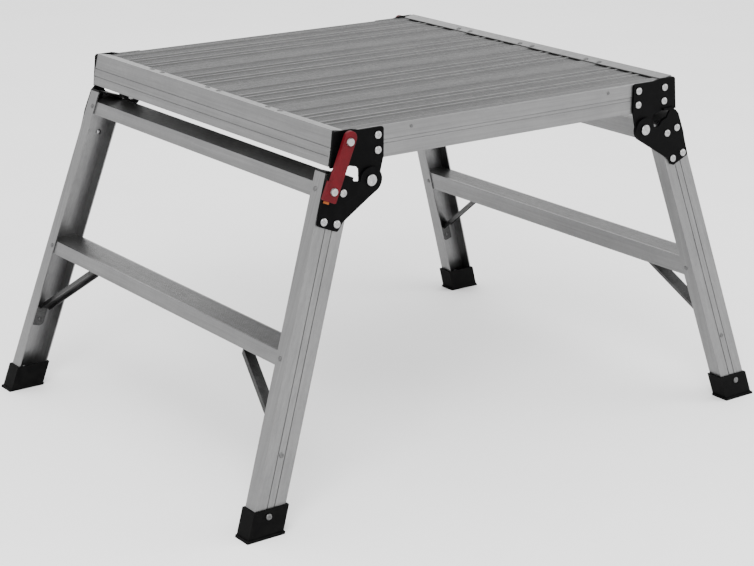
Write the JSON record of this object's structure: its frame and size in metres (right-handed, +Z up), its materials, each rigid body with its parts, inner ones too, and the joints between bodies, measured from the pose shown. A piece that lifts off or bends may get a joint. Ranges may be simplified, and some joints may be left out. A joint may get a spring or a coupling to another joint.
{
  "type": "folding work platform",
  "caption": "Folding aluminium work platform: ribbed plank deck on splayed fold-under leg frames with treads, braces, lock levers and rubber feet.",
  "frame": {"origin": "on the floor under the centre of the deck", "axes": "+Z up, +X along the deck planks from one leg frame to the other, -Y is the front"},
  "size_m": [0.908, 0.6862, 0.5],
  "materials": {
    "aluminium": "satin extruded aluminium",
    "black_steel": "black powder coat",
    "zinc": "zinc plated",
    "galvanised": "dull galvanised steel",
    "rubber": "moulded black rubber",
    "black_plastic": "matte moulded",
    "red_plastic": "moulded, slightly glossy",
    "orange_plastic": "moulded"
  },
  "bodies": {
    "platform": {"cleat_rivets": "zinc", "corner_cleat_back_left": "black_steel", "corner_cleat_back_right": "black_steel", "corner_cleat_front_left": "black_steel", "corner_cleat_front_right": "black_steel", "deck_plank_1": "aluminium", "deck_plank_2": "aluminium", "deck_plank_3": "aluminium", "deck_plank_4": "aluminium", "left_end_rail": "aluminium", "left_lever_pin": "zinc", "pivot_pins": "zinc", "plank_rivets": "zinc", "right_end_rail": "aluminium", "right_lever_pin": "zinc", "side_rail_back": "aluminium", "side_rail_front": "aluminium", "side_rivets": "zinc", "upper_hinge_plate_back_left": "black_steel", "upper_hinge_plate_back_right": "black_steel", "upper_hinge_plate_front_left": "black_steel", "upper_hinge_plate_front_right": "black_steel", "upper_hinge_rivets": "zinc"},
    "left_leg_frame": {"stile_front_left": "aluminium", "stile_back_left": "aluminium", "stile_cap_front_left": "black_plastic", "stile_cap_back_left": "black_plastic", "lower_hinge_plate_front_left": "black_steel", "lower_hinge_plate_back_left": "black_steel", "brace_front_left": "galvanised", "brace_back_left": "galvanised", "rubber_foot_front_left": "rubber", "rubber_foot_back_left": "rubber", "left_tread": "aluminium", "left_top_bar": "aluminium", "left_lower_hinge_rivets": "zinc", "left_frame_rivets": "zinc", "left_hook_pin": "zinc"},
    "right_leg_frame": {"stile_front_right": "aluminium", "stile_back_right": "aluminium", "stile_cap_front_right": "black_plastic", "stile_cap_back_right": "black_plastic", "lower_hinge_plate_front_right": "black_steel", "lower_hinge_plate_back_right": "black_steel", "brace_front_right": "galvanised", "brace_back_right": "galvanised", "rubber_foot_front_right": "rubber", "rubber_foot_back_right": "rubber", "right_tread": "aluminium", "right_top_bar": "aluminium", "right_lower_hinge_rivets": "zinc", "right_frame_rivets": "zinc", "right_hook_pin": "zinc"},
    "left_lock_lever": {"left_lock_lever": "red_plastic", "left_lever_screw": "zinc"},
    "right_lock_lever": {"right_lock_lever": "red_plastic", "right_lever_screw": "zinc"},
    "left_release_button": {"left_release_button": "orange_plastic"},
    "right_release_button": {"right_release_button": "orange_plastic"}
  },
  "joints": [
    {"name": "left_leg_fold", "type": "hinge", "parent": "platform", "child": "left_leg_frame", "pos_m": [-0.2375, 0, 0.43], "axis": [0, -1, 0], "range_deg": [0, 116]},
    {"name": "left_lever_swing", "type": "hinge", "parent": "platform", "child": "left_lock_lever", "pos_m": [-0.2747, -0.3, 0.4855], "axis": [0, 1, 0], "range_deg": [0, 41.2]},
    {"name": "left_button_press", "type": "slide", "parent": "left_lock_lever", "child": "left_release_button", "axis": [0.3753, 0, 0.9269], "range_m": [0, 0.002], "stiffness_N_per_m": 300},
    {"name": "right_leg_fold", "type": "hinge", "parent": "platform", "child": "right_leg_frame", "pos_m": [0.2375, 0, 0.43], "axis": [0, 1, 0], "range_deg": [0, 103]},
    {"name": "right_lever_swing", "type": "hinge", "parent": "platform", "child": "right_lock_lever", "pos_m": [0.2747, 0.3, 0.4855], "axis": [0, -1, 0], "range_deg": [0, 36.6]},
    {"name": "right_button_press", "type": "slide", "parent": "right_lock_lever", "child": "right_release_button", "axis": [-0.3753, 0, 0.9269], "range_m": [0, 0.002], "stiffness_N_per_m": 300}
  ],
  "couplings": [
    {"joint": "left_lever_swing", "follows": "left_leg_fold", "ratio": 0.35},
    {"joint": "right_lever_swing", "follows": "right_leg_fold", "ratio": 0.35}
  ]
}
